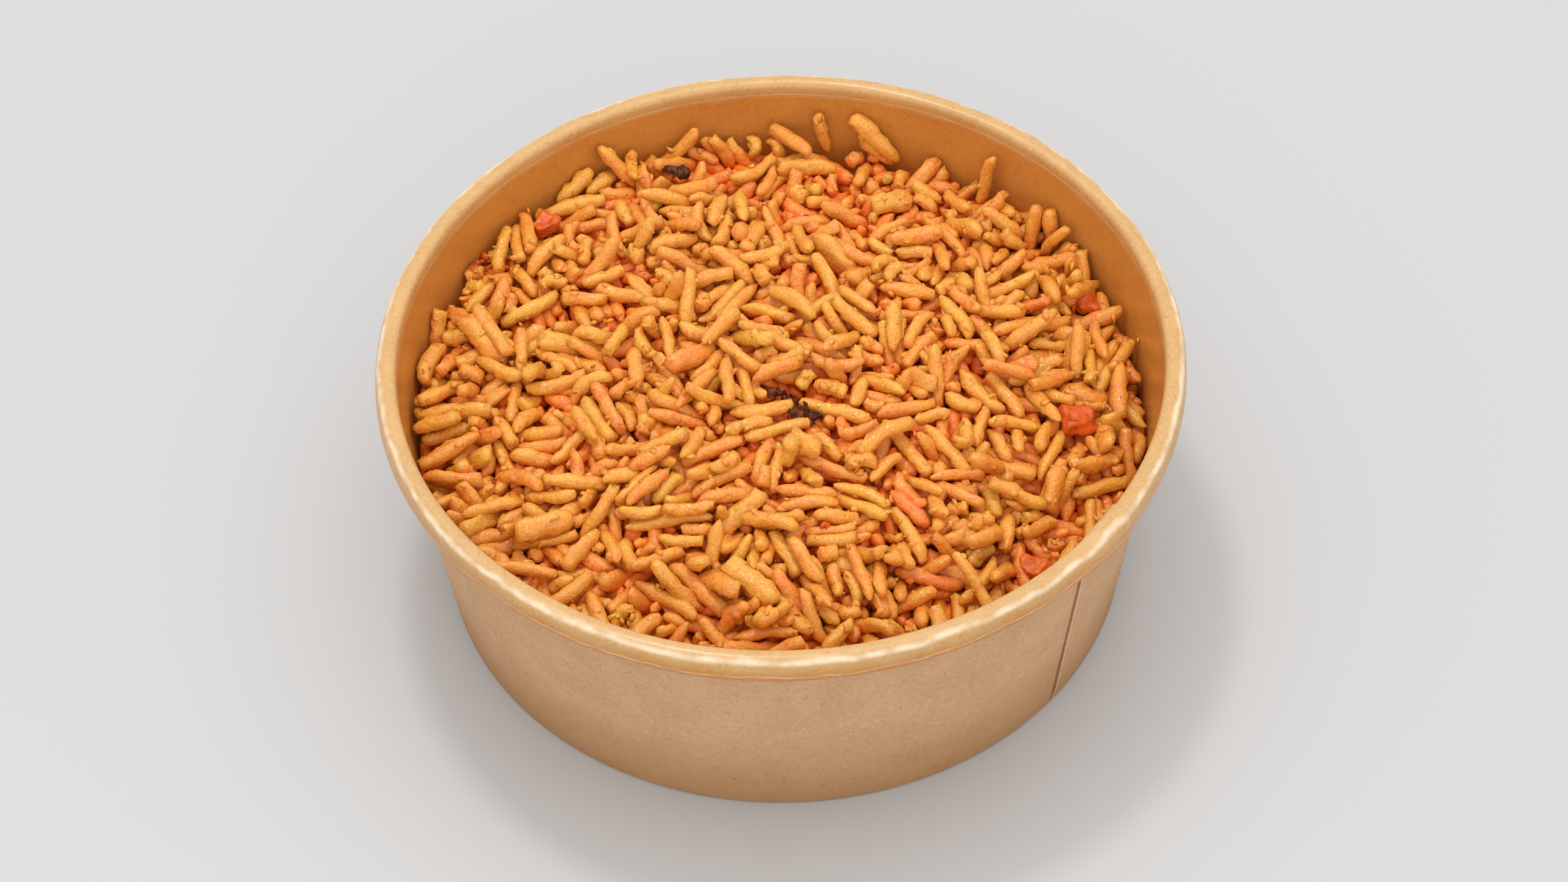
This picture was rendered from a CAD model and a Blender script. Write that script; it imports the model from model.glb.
# %% [markdown]
# # Jollof rice in a kraft paper bowl
# A takeaway bowl of rolled-rim kraft board, filled with orange long-grain rice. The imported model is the
# frame: every visible piece is fitted to it, in metres, with +Z up. The lesson goes from the camera and
# the light to the paper, then to the grains, which are the main thing here, and ends with the toppings.

import math
import random

import bmesh
import bpy
import numpy as np
from mathutils import Matrix, Vector, noise


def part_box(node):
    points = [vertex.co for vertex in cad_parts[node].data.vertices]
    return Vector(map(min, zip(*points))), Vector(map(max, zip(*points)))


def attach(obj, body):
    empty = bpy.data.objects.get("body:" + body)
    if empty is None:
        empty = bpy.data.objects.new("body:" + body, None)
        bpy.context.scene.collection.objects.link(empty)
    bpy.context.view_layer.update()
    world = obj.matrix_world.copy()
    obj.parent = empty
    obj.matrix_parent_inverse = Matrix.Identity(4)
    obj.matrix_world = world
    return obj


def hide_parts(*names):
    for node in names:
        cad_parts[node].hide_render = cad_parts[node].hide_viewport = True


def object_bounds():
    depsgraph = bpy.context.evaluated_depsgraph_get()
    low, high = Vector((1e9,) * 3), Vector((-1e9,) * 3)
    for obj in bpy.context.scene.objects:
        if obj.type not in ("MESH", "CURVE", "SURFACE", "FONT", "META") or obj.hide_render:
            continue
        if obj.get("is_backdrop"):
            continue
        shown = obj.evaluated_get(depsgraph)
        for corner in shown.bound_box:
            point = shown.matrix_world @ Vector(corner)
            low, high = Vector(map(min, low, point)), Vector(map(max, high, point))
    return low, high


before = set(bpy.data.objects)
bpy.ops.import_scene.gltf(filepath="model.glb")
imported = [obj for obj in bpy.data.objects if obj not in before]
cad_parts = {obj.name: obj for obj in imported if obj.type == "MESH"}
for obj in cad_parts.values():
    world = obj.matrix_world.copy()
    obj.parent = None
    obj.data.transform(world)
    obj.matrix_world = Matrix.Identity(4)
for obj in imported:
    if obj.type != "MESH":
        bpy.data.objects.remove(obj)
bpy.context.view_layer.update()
MM = 0.001

# %% [markdown]
# ## Small helpers
# Colours are written as sRGB hex, as a paint chart gives them, and Blender's shaders want linear light, so
# one function converts. Another adds a shader or geometry node with its settings and its links in one call,
# which keeps the long material recipes readable. Sockets without a name of their own go by number: in a Map
# Range 0 is the value, 1 and 2 the range it comes from, 3 and 4 the range it goes to, and in a Mix 0 is the
# share and 6 and 7 are the two colours.

# %% Colour and node helpers
def linear(hex_colour):
    """sRGB hex to linear RGBA."""
    parts = [int(hex_colour[i:i + 2], 16) / 255 for i in (1, 3, 5)]
    return [p / 12.92 if p <= 0.04045 else ((p + 0.055) / 1.055) ** 2.4 for p in parts] + [1]


def fill(tree, node, inputs):
    """Sets inputs to a value or a hex colour, or links an output, or a node's first output in use."""
    for key, value in inputs.items():
        if isinstance(value, bpy.types.Node):
            value = next(output for output in value.outputs if output.enabled)
        if isinstance(value, bpy.types.NodeSocket):
            tree.links.new(value, node.inputs[key])
        elif isinstance(value, str) and value.startswith("#"):
            node.inputs[key].default_value = linear(value)
        else:
            node.inputs[key].default_value = value


def add(tree, kind, inputs=None, **settings):
    """Adds a node with these settings and fills its inputs."""
    made = tree.nodes.new(kind)
    for key, value in settings.items():
        setattr(made, key, value)
    fill(tree, made, inputs or {})
    return made


def new_material(name, **shader_values):
    """A material whose Principled shader has these uniform values on its own sockets."""
    material = bpy.data.materials.new(name)
    material.use_nodes = True
    tree = material.node_tree
    shader = tree.nodes["Principled BSDF"]
    fill(tree, shader, {key.replace("_", " "): value for key, value in shader_values.items()})
    return material, tree, shader


# %% [markdown]
# ## Camera
# The photograph looks down at the bowl at 48 degrees with a long lens. Its height, distance and slight roll
# were fitted to the outline of the rim and the foot, so the bowl lands where it does in the photograph.

# %% Camera
ELEVATION = math.radians(47.98)
DISTANCE = 858 * MM
ROLL = math.radians(-1.54)
AIM = Vector((0.25 * MM, 0, 27.9 * MM))
SENSOR_WIDTH = 36.0
PHOTO_WIDTH, PHOTO_HEIGHT = 2576, 1449
FOCAL_PIXELS = 7477

back = Vector((0, -math.cos(ELEVATION), math.sin(ELEVATION)))
level_right = Vector((1, 0, 0))
level_up = back.cross(level_right)
camera_right = level_right * math.cos(ROLL) + level_up * math.sin(ROLL)
camera_up = level_up * math.cos(ROLL) - level_right * math.sin(ROLL)
camera_place = AIM + back * DISTANCE

lens = bpy.data.cameras.new("camera")
lens.sensor_width = SENSOR_WIDTH
lens.lens = FOCAL_PIXELS / PHOTO_WIDTH * SENSOR_WIDTH
lens.clip_start = 0.01
camera = bpy.data.objects.new("camera", lens)
turn = Matrix((camera_right, camera_up, back)).transposed().to_4x4()
camera.matrix_world = Matrix.Translation(camera_place) @ turn
bpy.context.scene.collection.objects.link(camera)
bpy.context.scene.camera = camera
print("lens in mm:", round(lens.lens, 1))

# %% [markdown]
# ## Light and floor
# Everything in the photograph is lit from above by large soft sources: the tops are bright, the wall that
# faces the camera is a little darker, and the shadow lies softly all round the foot. One big area light
# overhead, a weak one in front and an even white world do that, and a small lamp puts points of light on
# the wet grains. The Standard view keeps the oranges as saturated as they are.

# %% Light and floor
WORLD_STRENGTH = 0.93
LIGHT_AIM = Vector((0, 0, 30 * MM))
FLOOR_HALF = 3

bpy.context.scene.view_settings.view_transform = "Standard"


def add_softbox(name, place, size, power):
    """A square area light that looks at the bowl."""
    light = bpy.data.lights.new(name, "AREA")
    light.shape = "SQUARE"
    light.size = size
    light.energy = power
    lamp = bpy.data.objects.new(name, light)
    lamp.location = place
    lamp.rotation_euler = (LIGHT_AIM - lamp.location).to_track_quat("-Z", "Y").to_euler()
    bpy.context.scene.collection.objects.link(lamp)


add_softbox("overhead softbox", (0.03, 0.10, 0.95), size=1.1, power=2.85)
add_softbox("front fill", (0.05, -0.62, 0.42), size=0.5, power=0.9)
add_softbox("small lamp for the wet glints", (-0.12, 0.22, 0.92), size=0.12, power=1.7)

world = bpy.data.worlds.new("white studio")
world.use_nodes = True
sky = world.node_tree.nodes["Background"]
fill(world.node_tree, sky, {"Color": "#FFFFFF", "Strength": WORLD_STRENGTH})
bpy.context.scene.world = world

floor_mesh = bpy.data.meshes.new("floor")
floor_bm = bmesh.new()
bmesh.ops.create_grid(floor_bm, x_segments=1, y_segments=1, size=FLOOR_HALF)
floor_bm.to_mesh(floor_mesh)
floor_bm.free()
floor = bpy.data.objects.new("floor", floor_mesh)
bpy.context.scene.collection.objects.link(floor)
floor_paint, _, _ = new_material("pale satin table", Base_Color="#BFBFBF", Roughness=0.5)
floor_mesh.materials.append(floor_paint)
floor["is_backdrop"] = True

# %% [markdown]
# ## Kraft board
# The bowl is pressed from unbleached kraft board: wood fibres that were never whitened, so it is tan, with
# darker and paler fibres in all directions and a soft cloudiness. Outside it is bare and matt. Inside it
# has a thin film against grease, which gives a soft gloss and deepens the colour, and the rice has stained
# the wall orange. The rim is rolled outwards, so what shows on the rim is that coated side too.

# %% Helpers for kraft board
SMOOTH = {"interpolation_type": "SMOOTHSTEP"}
COLOURS = {"data_type": "RGBA"}


def paper_bump(tree, shader, place, size_mm, strength):
    """The fine tooth of the board, for the base and for the film on it."""
    grain = add(tree, "ShaderNodeTexNoise", {"Vector": place, "Scale": 1000 / size_mm, "Detail": 3.0})
    bump = add(tree, "ShaderNodeBump", {"Height": grain, "Strength": strength, "Distance": 0.06 * MM})
    fill(tree, shader, {"Normal": bump, "Coat Normal": bump})


def kraft_colour(tree, place, base, pale, dark):
    """Board with clouds, mottle and specks of three noise sizes, and with curly pale and dark fibres."""
    colour = base
    for size_mm, low, high, strength, tint in (
        (9.0, 0.30, 0.70, 0.30, dark),
        (1.1, 0.40, 0.75, 0.40, pale),
        (0.45, 0.52, 0.75, 0.50, dark),
    ):
        cloud = add(tree, "ShaderNodeTexNoise", {"Vector": place, "Scale": 1000 / size_mm, "Detail": 3.0})
        share = add(tree, "ShaderNodeMapRange", {0: cloud, 1: low, 2: high, 4: strength}, **SMOOTH)
        colour = add(tree, "ShaderNodeMix", {0: share, 6: colour, 7: tint}, **COLOURS)
    for length_mm, mask_mm, tint in ((2.6, 1.7, dark), (1.7, 1.1, dark), (2.1, 1.4, pale), (1.5, 0.9, pale)):
        lines = add(tree, "ShaderNodeTexNoise", {"Vector": place, "Scale": 1000 / length_mm, "Detail": 1.5,
                                                 "Distortion": 1.2})
        away = add(tree, "ShaderNodeMath", {0: lines, 1: 0.5}, operation="SUBTRACT")
        away = add(tree, "ShaderNodeMath", {0: away}, operation="ABSOLUTE")
        line = add(tree, "ShaderNodeMapRange", {0: away, 2: 0.02, 3: 0.75, 4: 0}, **SMOOTH)
        gaps = add(tree, "ShaderNodeTexNoise", {"Vector": place, "Scale": 1000 / mask_mm})
        broken = add(tree, "ShaderNodeMapRange", {0: gaps, 1: 0.47, 2: 0.6}, **SMOOTH)
        share = add(tree, "ShaderNodeMath", {0: line, 1: broken}, operation="MULTIPLY")
        colour = add(tree, "ShaderNodeMix", {0: share, 6: colour, 7: tint}, **COLOURS)
    return colour


def spotted(tree, place, colour, spots):
    """The colour with ragged round stains: for each its point and its radius in mm, and its hex colour."""
    for point_mm, radius_mm, stain in spots:
        radius = radius_mm * MM
        gap = add(tree, "ShaderNodeVectorMath", {0: place, 1: Vector(point_mm) * MM}, operation="DISTANCE")
        noisy = add(tree, "ShaderNodeTexNoise", {"Vector": place, "Scale": 1000 / 0.9})
        noisy = add(tree, "ShaderNodeMath", {0: noisy, 1: 0.8 * radius, 2: gap}, operation="MULTIPLY_ADD")
        share = add(tree, "ShaderNodeMapRange",
                    {0: noisy, 1: 0.65 * radius, 2: 1.2 * radius, 3: 1, 4: 0}, **SMOOTH)
        colour = add(tree, "ShaderNodeMix", {0: share, 6: colour, 7: stain}, **COLOURS)
    return colour


# %% Bare kraft board
SEAM = math.radians(-41)
PRESSED_HEIGHT = 26 * MM
BOARD_SPOTS = (
    ((48.2, -43.3, 8.0), 0.8, "#5A4634"),
    ((-4.6, -64.8, 2.4), 0.35, "#4A3626"),
    ((4.3, -64.9, 2.2), 0.3, "#4A3626"),
)

# Bare kraft board: uncoated and matt, so it scatters light evenly and one sees its single fibres.
bare_kraft, tree, shader = new_material("bare kraft board", Roughness=0.85, Specular_IOR_Level=0.25)
place = add(tree, "ShaderNodeTexCoord").outputs["Object"]
colour = kraft_colour(tree, place, "#CEA47B", "#DBB690", "#B08359")
pits = add(tree, "ShaderNodeTexVoronoi", {"Vector": place, "Scale": 1000 / 16}, feature="F1")
pit = add(tree, "ShaderNodeMapRange", {0: pits, 1: 0.012, 2: 0.024, 3: 1, 4: 0}, **SMOOTH)
colour = add(tree, "ShaderNodeMix", {0: pit, 6: colour, 7: "#5A3A20"}, **COLOURS)

# The wall is darker towards the foot, where the board is pressed and folded.
height = add(tree, "ShaderNodeSeparateXYZ", {0: place}).outputs["Z"]
low = add(tree, "ShaderNodeMapRange", {0: height, 2: PRESSED_HEIGHT, 3: 0.6, 4: 0}, **SMOOTH)
colour = add(tree, "ShaderNodeMix", {0: low, 6: colour, 7: "#A0703F"}, **COLOURS)

# The cut edge of the lap: a thin brown line with a pale one beside it, and a torn spot at its foot.
across, along = (
    add(tree, "ShaderNodeVectorMath", {0: place, 1: direction}, operation="DOT_PRODUCT")
    for direction in ((-math.sin(SEAM), math.cos(SEAM), 0), (math.cos(SEAM), math.sin(SEAM), 0))
)
on_front = add(tree, "ShaderNodeMapRange", {0: along, 2: 10 * MM}, **SMOOTH)
for low_mm, peak_mm, high_mm, strength, tint in (
    (-0.35, -0.05, 0.1, 0.7, "#6E4A2E"),
    (0.08, 0.25, 0.7, 0.5, "#EFD0AA"),
):
    rise = add(tree, "ShaderNodeMapRange", {0: across, 1: low_mm * MM, 2: peak_mm * MM}, **SMOOTH)
    fall = add(tree, "ShaderNodeMapRange",
               {0: across, 1: peak_mm * MM, 2: high_mm * MM, 3: strength, 4: 0}, **SMOOTH)
    line = add(tree, "ShaderNodeMath", {0: rise, 1: fall}, operation="MULTIPLY")
    line = add(tree, "ShaderNodeMath", {0: line, 1: on_front}, operation="MULTIPLY")
    colour = add(tree, "ShaderNodeMix", {0: line, 6: colour, 7: tint}, **COLOURS)
fill(tree, shader, {"Base Color": spotted(tree, place, colour, BOARD_SPOTS)})
paper_bump(tree, shader, place, 0.5, 0.35)

# %% Coated kraft board
STAIN_LEVEL = 48.6 * MM
WORN_LINES = ((62, 22, 0.6, "#FFF0D6"), (-24, 9, 0.45, "#F2D9B0"))
RIM_SPOTS = (
    ((21.3, 68.4, 52.0), 1.2, "#EFA12F"),
    ((-70.2, -16.7, 52.0), 0.7, "#E9A53C"),
    ((-68.9, -19.0, 51.5), 0.9, "#E9A030"),
    ((-73.9, -0.5, 51.0), 0.35, "#3A2C12"),
    ((-73.9, -2.8, 50.5), 0.35, "#3A2C12"),
)

# Coated kraft board: the same board under a film against grease, so it is deeper and has a soft gloss.
coated_kraft, tree, shader = new_material("film-coated kraft board", Roughness=0.36,
                                          Specular_IOR_Level=0.45, Coat_Weight=0.2, Coat_Roughness=0.18)
place = add(tree, "ShaderNodeTexCoord").outputs["Object"]
clean = kraft_colour(tree, place, "#CDA063", "#D7AE7A", "#B18146")
stained = kraft_colour(tree, place, "#C98337", "#D29145", "#B46F29")

# The rice has stained the wall up to just under the curl, in an uneven line.
height = add(tree, "ShaderNodeSeparateXYZ", {0: place}).outputs["Z"]
level = add(tree, "ShaderNodeTexNoise", {"Vector": place, "Scale": 1000 / 8})
level = add(tree, "ShaderNodeMath", {0: level, 1: 3 * MM, 2: STAIN_LEVEL}, operation="MULTIPLY_ADD")
above = add(tree, "ShaderNodeMath", {0: height, 1: level}, operation="SUBTRACT")
share = add(tree, "ShaderNodeMapRange", {0: above, 1: -1 * MM, 2: 1.6 * MM}, **SMOOTH)
colour = add(tree, "ShaderNodeMix", {0: share, 6: stained, 7: clean}, **COLOURS)

# Where the curl was crushed, the film has gone pale: on its shoulder, and at its lower edge. Each line runs
# at an angle of the curl's section, in degrees, and wavers.
turned = add(tree, "ShaderNodeAttribute", attribute_name="curl_angle").outputs["Fac"]
waver = add(tree, "ShaderNodeTexNoise", {"Vector": place, "Scale": 1000 / 7, "Detail": 3.0})
waver = add(tree, "ShaderNodeMapRange", {0: waver, 1: 0.2, 2: 0.8, 3: -13, 4: 13})
turned = add(tree, "ShaderNodeMath", {0: turned, 1: waver}, operation="ADD")
worn = add(tree, "ShaderNodeTexNoise", {"Vector": place, "Scale": 1000 / 4, "Detail": 2.0})
worn = add(tree, "ShaderNodeMapRange", {0: worn, 1: 0.3, 2: 0.65, 3: 0.35, 4: 1}, **SMOOTH)
for middle, half_width, strength, tint in WORN_LINES:
    off = add(tree, "ShaderNodeMath", {0: turned, 1: middle}, operation="SUBTRACT")
    off = add(tree, "ShaderNodeMath", {0: off}, operation="ABSOLUTE")
    share = add(tree, "ShaderNodeMapRange", {0: off, 2: half_width, 3: strength, 4: 0}, **SMOOTH)
    share = add(tree, "ShaderNodeMath", {0: share, 1: worn}, operation="MULTIPLY")
    colour = add(tree, "ShaderNodeMix", {0: share, 6: colour, 7: tint}, **COLOURS)
fill(tree, shader, {"Base Color": spotted(tree, place, colour, RIM_SPOTS)})
paper_bump(tree, shader, place, 0.8, 0.25)
print("kraft materials:", bare_kraft.name, "and", coated_kraft.name)

# %% [markdown]
# ## Bowl wall
# One blank of board makes the wall: it is wrapped to a cone, lapped and glued at the side, folded under at
# the foot, and curled outwards at the top. A turned profile gives the form, but the real curl is a little
# uneven, and the lap shows as a step, so the wall is lofted here: a closed section of the paper is worked
# out for each direction round the axis, and neighbouring sections are joined by faces. Both faces of the
# paper are real, which lets the bare and the coated side have their own materials.

# %% Sizes of the bowl, from the frame
PAPER = 0.5 * MM
GAP = 0.3 * MM
_, wall_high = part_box("bowl_wall")
bottom_low, bottom_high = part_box("bowl_bottom")
rice_low, rice_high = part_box("rice")
RIM_RADIUS = wall_high.x
BOWL_HEIGHT = wall_high.z
FOOT_RADIUS = 64.5 * MM
DISC_TOP = bottom_high.z
CURL_WIDTH = 4.0 * MM
CURL_HEIGHT = 5.4 * MM
CURL_LEAN = 0.3 * MM
CURL_SQUARENESS = 3.0
HEM_HEIGHT = 6.0 * MM
FOLD_RADIUS = 0.45 * MM
LAP_END = math.radians(-34.4)
LAP_FADE = math.radians(4)
LAP = 0.42 * MM
CURL_MIDDLE = BOWL_HEIGHT - CURL_HEIGHT / 2
CURL_AXIS = RIM_RADIUS - CURL_WIDTH / 2
print("bowl in mm: rim", round(RIM_RADIUS * 2 / MM, 1), "height", round(BOWL_HEIGHT / MM, 1))


# %% Helpers for a lofted piece
WELD = 0.0005 * MM
SHARP_ANGLE = math.radians(38)


def plain_mesh(name, mesh, *materials):
    """Links a finished mesh as a piece, at the origin."""
    mesh.name = name
    for material in materials:
        mesh.materials.append(material)
    piece = bpy.data.objects.new(name, mesh)
    bpy.context.scene.collection.objects.link(piece)
    return piece


def smooth_mesh(name, bm):
    """A smooth-shaded mesh of the BMesh, which is freed."""
    mesh = bpy.data.meshes.new(name)
    bm.to_mesh(mesh)
    bm.free()
    mesh.shade_smooth()
    return mesh


def loft_round(name, section, azimuths, materials):
    """Joins closed sections round the axis. section(azimuth) gives (radius, height, material) points."""
    rows = [section(a) for a in azimuths]
    count = len(rows[0])
    points = [
        (r * math.cos(a), r * math.sin(a), z)
        for a, row in zip(azimuths, rows)
        for r, z, _ in row
    ]
    faces, slots = [], []
    for i in range(len(rows)):
        here, there = i * count, (i + 1) % len(rows) * count
        for k in range(count):
            m = (k + 1) % count
            faces.append((here + k, here + m, there + m, there + k))
            slots.append(rows[0][k][2])
    mesh = bpy.data.meshes.new(name)
    mesh.from_pydata(points, [], faces)
    mesh.polygons.foreach_set("material_index", slots)
    for material in materials:
        mesh.materials.append(material)
    bm = bmesh.new()
    bm.from_mesh(mesh)
    bmesh.ops.remove_doubles(bm, verts=bm.verts, dist=WELD)
    bmesh.ops.dissolve_degenerate(bm, edges=bm.edges, dist=WELD / 5)
    bmesh.ops.recalc_face_normals(bm, faces=bm.faces)
    bm.to_mesh(mesh)
    bm.free()
    mesh.shade_smooth()
    mesh.set_sharp_from_angle(angle=SHARP_ANGLE)
    return plain_mesh(name, mesh)


def dress(piece, slot, *nodes):
    """Lets a piece ride on the object, take a record slot, and stand for CAD nodes."""
    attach(piece, "root")
    if nodes:
        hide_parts(*nodes)
    print(piece.name, "has", sum(len(p.vertices) - 2 for p in piece.data.polygons), "triangles")


# %% Bowl wall section
BARE, COATED = 0, 1
CURL_ANGLES = range(172, -201, -12)
# The path's last points lie past the crest, where a point's height no longer tells the curl from the wall.
CURL_OUTER = 18
TAIL_SHRINK = 0.35
# About how long the board's uneven waves are, in mm.
CRUSH_LENGTH, DENT_LENGTH, SQUARE_LENGTH, BULGE_LENGTH = 12, 11, 22, 45


def wall_centre(z):
    """Radius of the middle of the wall's paper at a height."""
    foot = FOOT_RADIUS - PAPER / 2
    slope = (RIM_RADIUS - CURL_WIDTH + PAPER / 2 - foot) / (CURL_MIDDLE - PAPER / 2)
    return foot + slope * (z - PAPER / 2)


def wall_inside(z):
    """Radius of the wall's inner face at a height."""
    return wall_centre(z) - PAPER / 2


def wave(azimuth, length_mm, seed):
    """Smooth random waves round the rim, from -1 to 1, of about a given length."""
    reach = RIM_RADIUS / (length_mm * MM)
    return noise.noise(Vector((math.cos(azimuth) * reach, math.sin(azimuth) * reach, seed)))


def smooth_step(low, high, value):
    """0 at low and 1 at high, with a soft start and end."""
    t = min(1, max(0, (value - low) / (high - low)))
    return t * t * (3 - 2 * t)


def curl_point(angle, azimuth):
    """Middle of the curl's paper: 180 degrees is its inner side, 90 its crest, -200 its hidden tail."""
    tail = min(1, max(0, -(angle + math.pi / 2) / (math.pi / 2)))
    size = 1 - TAIL_SHRINK * tail
    power = 2 / (CURL_SQUARENESS + 0.5 * wave(azimuth, SQUARE_LENGTH, 3.0))
    c, s = math.cos(angle), math.sin(angle)
    across = math.copysign(abs(c) ** power, c)
    up = math.copysign(abs(s) ** power, s)
    crush = 1 + 0.035 * wave(azimuth, CRUSH_LENGTH, 7.0) * (s > 0)
    r = CURL_AXIS + (CURL_WIDTH - PAPER) / 2 * size * across - CURL_LEAN * s
    z = CURL_MIDDLE + (CURL_HEIGHT - PAPER) / 2 * size * up * crush
    dent = max(0, math.cos(angle - math.radians(50))) ** 3
    r -= dent * (0.08 + 0.22 * wave(azimuth, DENT_LENGTH, 11.0)) * MM
    return r, z


def wall_path(azimuth):
    """Middle of the paper from the top of the folded hem, round the foot, up the wall and over the curl."""
    hem_offset = PAPER * 2 + GAP * 2
    foot_z = PAPER / 2
    bend_z = foot_z + FOLD_RADIUS
    path = [(wall_centre(z) - hem_offset, z) for z in np.linspace(HEM_HEIGHT, bend_z, 3)]
    low_in = wall_centre(foot_z) - hem_offset + FOLD_RADIUS
    low_out = wall_centre(foot_z) - FOLD_RADIUS

    def fold(middle_r, quarter):
        """Two points of the paper's bend, within this quarter of a turn."""
        turns = [math.pi / 2 * (quarter + share) for share in (0.3, 0.7)]
        return [(middle_r + FOLD_RADIUS * math.cos(turn), foot_z + FOLD_RADIUS * (1 + math.sin(turn)))
                for turn in turns]

    path += fold(low_in, 2) + [(low_in, foot_z), (low_out, foot_z)] + fold(low_out, 3)
    bulge = 0.12 * MM * wave(azimuth, BULGE_LENGTH, 1.0)
    for z in np.linspace(bend_z, CURL_MIDDLE - 1.2 * MM, 12):
        path.append((wall_centre(z) + bulge * math.sin(math.pi * z / CURL_MIDDLE), z))
    return path + [curl_point(math.radians(angle), azimuth) for angle in CURL_ANGLES]


def lap_offsets(azimuth):
    """How far the lapped seam lifts the wall's bare face, its coated face, and the curl's coated face."""
    past = azimuth - LAP_END
    fade = smooth_step(LAP_FADE, 0, past)
    bare = LAP * (fade if azimuth > SEAM else 0)
    coated = LAP * (fade if past > 0 else 0)
    curl = LAP * smooth_step(SEAM - LAP_FADE / 2, SEAM + LAP_FADE / 3, azimuth) * (past < 0)
    return bare, coated, curl


def wall_section(azimuth):
    """The closed section of the wall's paper: its bare face and then its coated face."""
    path = wall_path(azimuth)
    bare_lift, coated_lift, curl_lift = lap_offsets(azimuth)
    bare, coated = [], []
    for i, (r, z) in enumerate(path):
        before, after = path[max(0, i - 1)], path[min(len(path) - 1, i + 1)]
        dr, dz = after[0] - before[0], after[1] - before[1]
        size = math.hypot(dr, dz)
        out_r, out_z = dz / size, -dr / size
        on_wall = smooth_step(0.4 * MM, 3 * MM, z) * (1 - smooth_step(45 * MM, 47 * MM, z))
        past_crest = i >= len(path) - CURL_OUTER
        on_curl = 1 if past_crest else smooth_step(47 * MM, 50 * MM, z)
        lift = PAPER / 2 + bare_lift * on_wall
        bare.append((r + out_r * lift, z + out_z * lift, BARE))
        lift = PAPER / 2 + curl_lift * on_curl - coated_lift * on_wall
        coated.append((r - out_r * lift, z - out_z * lift, COATED))
    return bare + coated[::-1]


# %% Bowl wall
AROUND = 288
STEP_WIDTH = math.radians(0.03)
azimuths = sorted(
    [2 * math.pi * k / AROUND - math.pi for k in range(AROUND)]
    + [edge + side * STEP_WIDTH for edge in (SEAM, LAP_END) for side in (-1, 1)]
)
bowl_wall = loft_round("kraft_wall", wall_section, azimuths, (bare_kraft, coated_kraft))
turned_by = [
    math.degrees(math.atan2(v.co.z - CURL_MIDDLE, math.hypot(v.co.x, v.co.y) - CURL_AXIS))
    for v in bowl_wall.data.vertices
]
bowl_wall.data.attributes.new("curl_angle", "FLOAT", "POINT").data.foreach_set("value", turned_by)
dress(bowl_wall, "kraft_paper", "bowl_wall")

# %% [markdown]
# ## Bowl bottom
# A separate disc of the same board closes the bowl. Its edge is turned down into the fold of the wall and
# sealed there, which leaves the bottom standing above the table. The rice hides it from above.

# %% Bowl bottom
def disc_section(azimuth):
    """Section of the disc and its turned-down flange, from the axis out, down, and back in."""
    edge = wall_inside(DISC_TOP) - GAP
    flange_bottom = bottom_low.z
    outer = wall_inside(flange_bottom) - GAP
    half_way = edge / 2
    bend = 0.9 * MM
    sag = 0.15 * MM * wave(azimuth, 60, 5.0)
    top = [(0.0, DISC_TOP, COATED), (half_way, DISC_TOP - 0.1 * MM, COATED)]
    for share in (0, 0.33, 0.67, 1):
        turn_down = math.pi / 2 * (1 - share)
        r = edge - bend + bend * math.cos(turn_down)
        top.append((r, DISC_TOP - bend + bend * math.sin(turn_down), COATED))
    under = DISC_TOP - PAPER
    low = [(outer, flange_bottom, BARE), (outer - PAPER, flange_bottom, BARE)]
    low += [(edge - PAPER, under - 0.7 * MM, BARE), (edge - PAPER - 0.6 * MM, under, BARE)]
    return top + low + [(half_way, under + sag - 0.1 * MM, BARE), (0.0, under, BARE)]


bowl_bottom = loft_round("kraft_bottom", disc_section, azimuths[::2], (bare_kraft, coated_kraft))
dress(bowl_bottom, "kraft_bottom", "bowl_bottom")

# %% [markdown]
# ## Form of the heap
# The rice fills the bowl to a low dome that stands higher at the back. The frame's solid has that form as a
# bare core with its top grains fused on. Here the core is sunk a few grains deeper, and real grains are
# piled on it up to the same height, so that one looks down between them as in a real bowl of rice.

# %% Height of the heap
HEAP_AT_WALL = 33.0 * MM
HEAP_CROWN = 42.0 * MM
HEAP_TILT = 5.2 * MM
HEAP_CANT = 2.0 * MM
HEAP_FULLNESS = 2.4
LUMP_HEIGHT = 1.1 * MM
LUMP_SPACING = 17 * MM
LUMP_FADE = 0.4
LOOSE_DEPTH = 6.5 * MM


def heap_edge(azimuth):
    """Height of the heap where it meets the wall."""
    return HEAP_AT_WALL + HEAP_TILT * math.sin(azimuth) - HEAP_CANT * math.cos(azimuth)


def heap_height(x, y):
    """Top of the frame's bare core: a dome that is higher at the back and left, with soft lumps."""
    azimuth = math.atan2(y, x)
    edge = heap_edge(azimuth)
    reach = min(1, math.hypot(x, y) / wall_inside(edge))
    dome = edge + (HEAP_CROWN - edge) * (1 - reach**HEAP_FULLNESS)
    lump = noise.noise(Vector((x, y, 0.3)) / LUMP_SPACING)
    return dome + LUMP_HEIGHT * lump * (1 - LUMP_FADE * reach)


GRID_STEP = 1.0 * MM
GRID_HALF = 72
grid_height = np.array([
    [heap_height(i * GRID_STEP, j * GRID_STEP) for j in range(-GRID_HALF, GRID_HALF + 1)]
    for i in range(-GRID_HALF, GRID_HALF + 1)
])


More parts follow.
